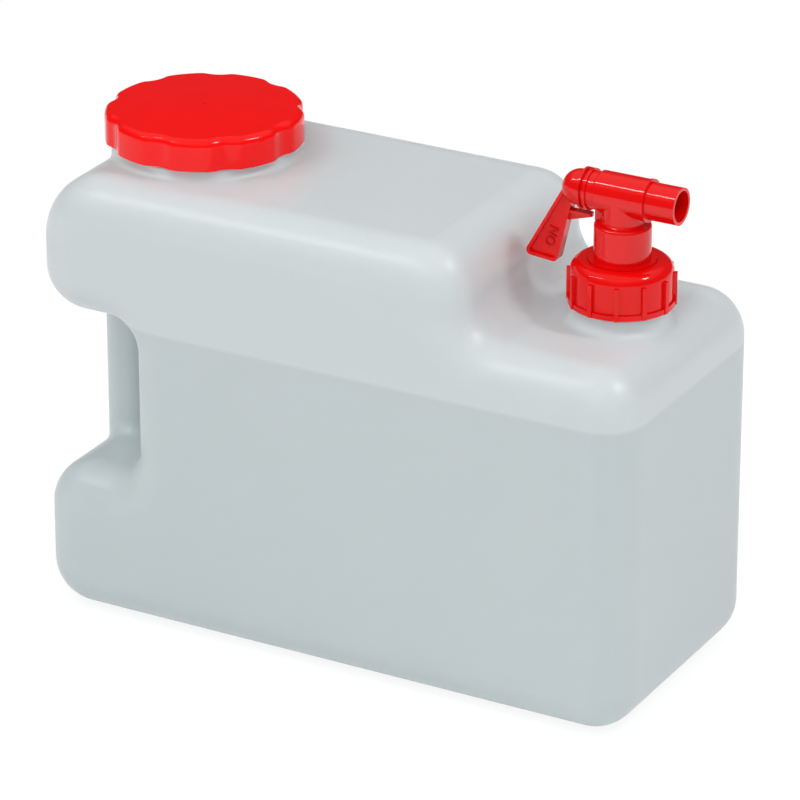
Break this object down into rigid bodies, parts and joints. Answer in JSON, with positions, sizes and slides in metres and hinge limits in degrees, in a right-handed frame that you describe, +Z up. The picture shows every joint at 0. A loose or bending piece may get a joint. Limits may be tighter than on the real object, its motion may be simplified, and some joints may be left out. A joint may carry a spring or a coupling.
{
  "type": "water canister with tap",
  "caption": "Rectangular water canister with a stepped top, a handle bar in an end notch, a wide screw lid and a lever tap held on a second neck by a union nut.",
  "frame": {"origin": "middle of the rectangular foot print, on the ground plane", "axes": "+X along the long side from the handle end to the tap end, +Y to the back, +Z up"},
  "size_m": [0.37, 0.165, 0.2975],
  "materials": {
    "tank": "natural polyethylene, translucent, satin",
    "red_plastic": "injection moulded, glossy",
    "gasket": "soft white sealing ring",
    "seal": "black O-ring"
  },
  "bodies": {
    "tank": {"canister_body": "tank"},
    "lid_ring": {"lid_gasket": "gasket"},
    "lid": {"filler_lid": "red_plastic"},
    "nut_ring": {"nut_gasket": "gasket"},
    "nut": {"union_nut": "red_plastic"},
    "tap": {"tap_body": "red_plastic"},
    "valve": {"valve_plug": "red_plastic", "plug_seal_1": "seal", "plug_seal_2": "seal"}
  },
  "joints": [
    {"name": "lid_rise", "type": "slide", "parent": "tank", "child": "lid_ring", "axis": [0, 0, 1], "range_m": [0, 0.018]},
    {"name": "lid_turn", "type": "hinge", "parent": "lid_ring", "child": "lid", "pos_m": [-0.12, 0, 0.28], "axis": [0, 0, 1], "range_deg": [0, 1080]},
    {"name": "nut_rise", "type": "slide", "parent": "tank", "child": "nut_ring", "axis": [0, 0, 1], "range_m": [0, 0.02]},
    {"name": "nut_turn", "type": "hinge", "parent": "nut_ring", "child": "nut", "pos_m": [0.141, 0, 0.24], "axis": [0, 0, 1], "range_deg": [0, 1800]},
    {"name": "tap_swivel", "type": "hinge", "parent": "nut_ring", "child": "tap", "pos_m": [0.141, 0, 0.2856], "axis": [0, 0, 1], "continuous": true},
    {"name": "lever_turn", "type": "hinge", "parent": "tap", "child": "valve", "pos_m": [0.141, 0, 0.2856], "axis": [1, 0, 0], "range_deg": [-90, 90]}
  ],
  "couplings": [
    {"joint": "lid_rise", "follows": "lid_turn", "m_per_rad": 0.00095492},
    {"joint": "nut_rise", "follows": "nut_turn", "m_per_rad": 0.00063661}
  ]
}
